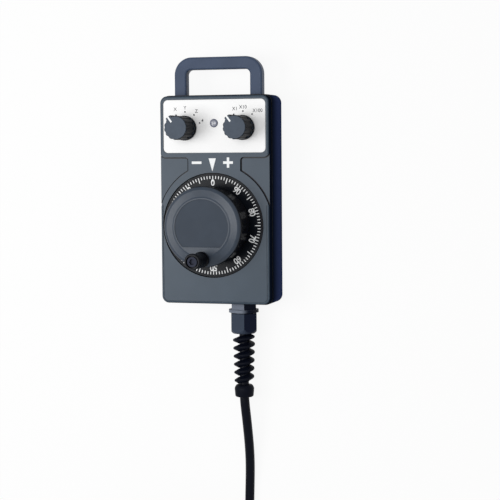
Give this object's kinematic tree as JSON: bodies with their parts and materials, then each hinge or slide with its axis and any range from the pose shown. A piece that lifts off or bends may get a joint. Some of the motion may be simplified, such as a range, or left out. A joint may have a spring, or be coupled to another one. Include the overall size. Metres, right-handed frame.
{
  "type": "pulse generator handwheel",
  "caption": "Machine tool hand pendant with a pulse handwheel on a lined dial, rotary selectors, a lamp, a carry handle and a tied coil of cord with a round connector.",
  "frame": {"origin": "centre of the housing's back face, on the surface that the pendant lies on", "axes": "+Z out of the front face, +Y from the cord end to the carry handle, +X to the side with the multiplier selector"},
  "size_m": [0.1167, 0.5188, 0.0858],
  "materials": {
    "front_grey": "satin moulded, slate grey, fine grain",
    "rear_blue": "satin moulded, navy",
    "handle_grey": "satin moulded, slate grey",
    "plate_white": "white printed switch plate",
    "print_black": "black print",
    "print_white": "white print",
    "lamp_body": "turned, matt",
    "lamp_lens": "frosted lens, unlit",
    "steel": "zinc plated",
    "dark_steel": "blackened",
    "switch_black": "phenolic, black",
    "wafer_brown": "paper laminate",
    "knob_grey": "satin moulded, grey",
    "dial_black": "black anodised, matt",
    "wheel_black": "polished black",
    "cap_grey": "grey anodised, satin",
    "spinner_black": "polished black",
    "axle_steel": "turned",
    "encoder_metal": "die cast",
    "bearing_bronze": "sintered bronze",
    "disc_glass": "clear code disc",
    "board_green": "laminate",
    "magnet_dark": "sintered magnet",
    "gland_grey": "moulded polyamide, slate grey",
    "nut_dark": "moulded polyamide, dark slate",
    "guard_black": "moulded bend guard",
    "seal_black": "soft seal",
    "wire_red": "insulated wires",
    "cord_black": "round jacket, satin",
    "tie_grey": "hook and loop tie",
    "connector_metal": "nickel plated",
    "insert_black": "contact insert"
  },
  "bodies": {
    "housing": {"front_shell": "front_grey", "rear_shell": "rear_blue", "shell_seal": "seal_black", "shell_screws": "steel", "carry_handle": "handle_grey", "handle_screws": "steel", "handle_washers": "steel", "switch_plate": "plate_white", "position_dots": "print_black", "direction_marks": "print_white", "lamp_bezel": "lamp_body", "lamp_lens": "lamp_lens", "lamp_nut": "steel", "axis_switch_case": "switch_black", "axis_switch_wafer": "wafer_brown", "axis_switch_nut": "steel", "multiplier_switch_case": "switch_black", "multiplier_switch_wafer": "wafer_brown", "multiplier_switch_nut": "steel", "encoder_case": "encoder_metal", "encoder_cover": "encoder_metal", "encoder_bearings": "bearing_bronze", "sensor_board": "board_green", "photo_interrupter": "switch_black", "detent_magnet": "magnet_dark", "terminal_block": "board_green", "terminal_screws": "steel", "encoder_screws": "steel", "gland_body": "gland_grey", "gland_locknut": "steel", "gland_seal": "seal_black", "gland_clamp_nut": "nut_dark", "bend_guard": "guard_black", "inner_wires": "wire_red", "cord_lead": "cord_black", "cord_coil": "cord_black", "cord_tail": "cord_black", "cord_ties": "tie_grey", "connector_shell": "connector_metal", "connector_insert": "insert_black", "connector_back_nut": "connector_metal"},
    "handwheel": {"dial_plate": "dial_black", "dial_lines": "print_white", "handwheel_knob": "wheel_black", "knob_cap": "cap_grey", "knob_screw": "steel", "spinner_axle": "axle_steel", "encoder_shaft": "axle_steel", "code_disc": "disc_glass", "detent_wheel": "dark_steel"},
    "spinner": {"spinner_grip": "spinner_black"},
    "axis_selector": {"axis_switch_shaft": "steel", "axis_knob": "knob_grey", "axis_knob_index": "print_white", "axis_grub_screw": "dark_steel"},
    "multiplier_selector": {"multiplier_switch_shaft": "steel", "multiplier_knob": "knob_grey", "multiplier_knob_index": "print_white", "multiplier_grub_screw": "dark_steel"},
    "coupling": {"coupling_ring": "connector_metal"}
  },
  "joints": [
    {"name": "handwheel_spin", "type": "hinge", "parent": "housing", "child": "handwheel", "pos_m": [-0.0014, -0.019, 0.0352], "axis": [0, 0, 1], "continuous": true},
    {"name": "spinner_spin", "type": "hinge", "parent": "handwheel", "child": "spinner", "pos_m": [-0.0014, -0.043, 0.064], "axis": [0, 0, 1], "continuous": true},
    {"name": "axis_select", "type": "hinge", "parent": "housing", "child": "axis_selector", "pos_m": [-0.0228, 0.0542, 0.036], "axis": [0, 0, 1], "range_deg": [-108, 36]},
    {"name": "multiplier_select", "type": "hinge", "parent": "housing", "child": "multiplier_selector", "pos_m": [0.0228, 0.0542, 0.036], "axis": [0, 0, 1], "range_deg": [-72, 0]},
    {"name": "coupling_turn", "type": "hinge", "parent": "housing", "child": "coupling", "pos_m": [0.019, -0.402, 0.012], "axis": [0, 1, 0], "continuous": true}
  ]
}
